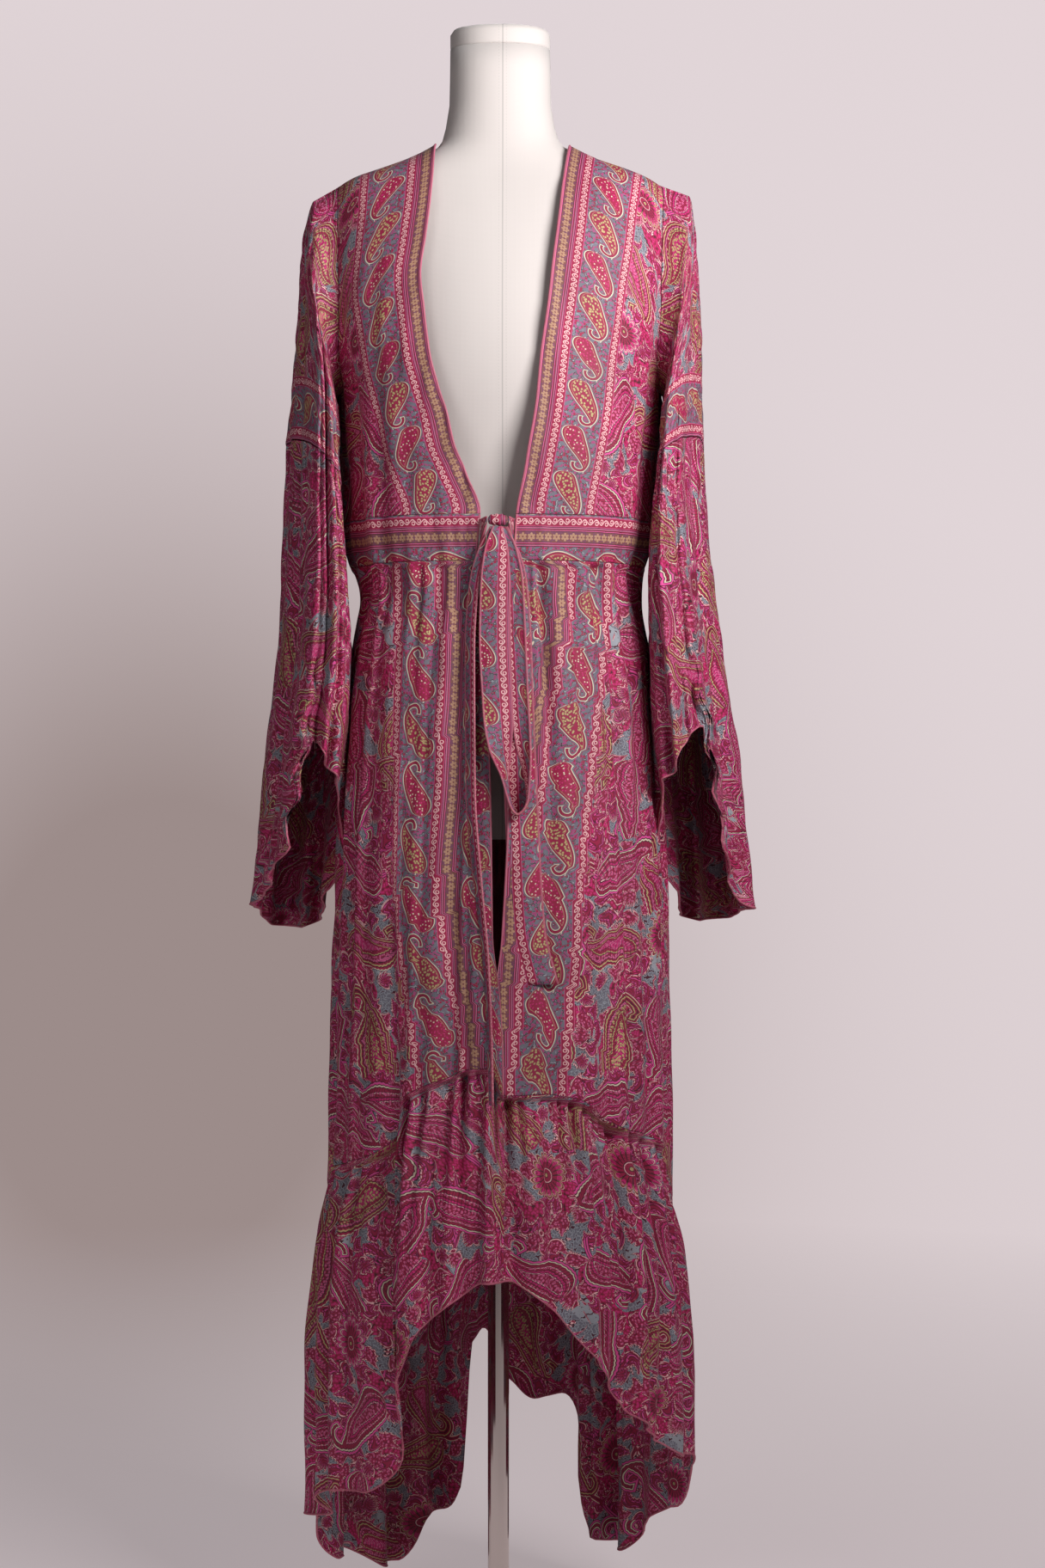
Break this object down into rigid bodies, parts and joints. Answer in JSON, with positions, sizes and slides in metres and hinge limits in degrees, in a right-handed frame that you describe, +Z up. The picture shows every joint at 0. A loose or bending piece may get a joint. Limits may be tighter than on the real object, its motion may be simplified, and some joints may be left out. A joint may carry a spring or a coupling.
{
  "type": "kimono robe on a dress form stand",
  "caption": "Long open kimono robe with bell sleeves, a tied waistband and a flounced hem, short in front and long at the sides, on a limbless dress form with a pole and round base.",
  "frame": {"origin": "middle of the base plate's underside, where the stand rests on the floor", "axes": "+Z is up, -Y is the front of the robe, +X is to the right as seen from the front"},
  "size_m": [0.5305, 0.3557, 1.7263],
  "materials": {
    "printed_crepe": "soft matte crepe, printed",
    "form_linen": "matte off-white linen",
    "chrome": "polished"
  },
  "bodies": {
    "root": {"form_torso": "form_linen", "form_cap": "form_linen", "stand_pole": "chrome", "stand_base": "chrome", "bodice_front_left": "printed_crepe", "bodice_front_right": "printed_crepe", "bodice_back": "printed_crepe", "waistband_left": "printed_crepe", "waistband_right": "printed_crepe", "waistband_back": "printed_crepe", "skirt_front_left": "printed_crepe", "skirt_front_right": "printed_crepe", "skirt_back": "printed_crepe", "flounce_front_left": "printed_crepe", "flounce_front_right": "printed_crepe", "flounce_back": "printed_crepe", "sleeve_left": "printed_crepe", "sleeve_right": "printed_crepe", "sleeve_bell_left": "printed_crepe", "sleeve_bell_right": "printed_crepe", "tie_knot": "printed_crepe", "tie_root_left": "printed_crepe", "tie_root_right": "printed_crepe", "tie_loop": "printed_crepe", "tie_tail_left": "printed_crepe", "tie_tail_right": "printed_crepe"}
  },
  "joints": []
}
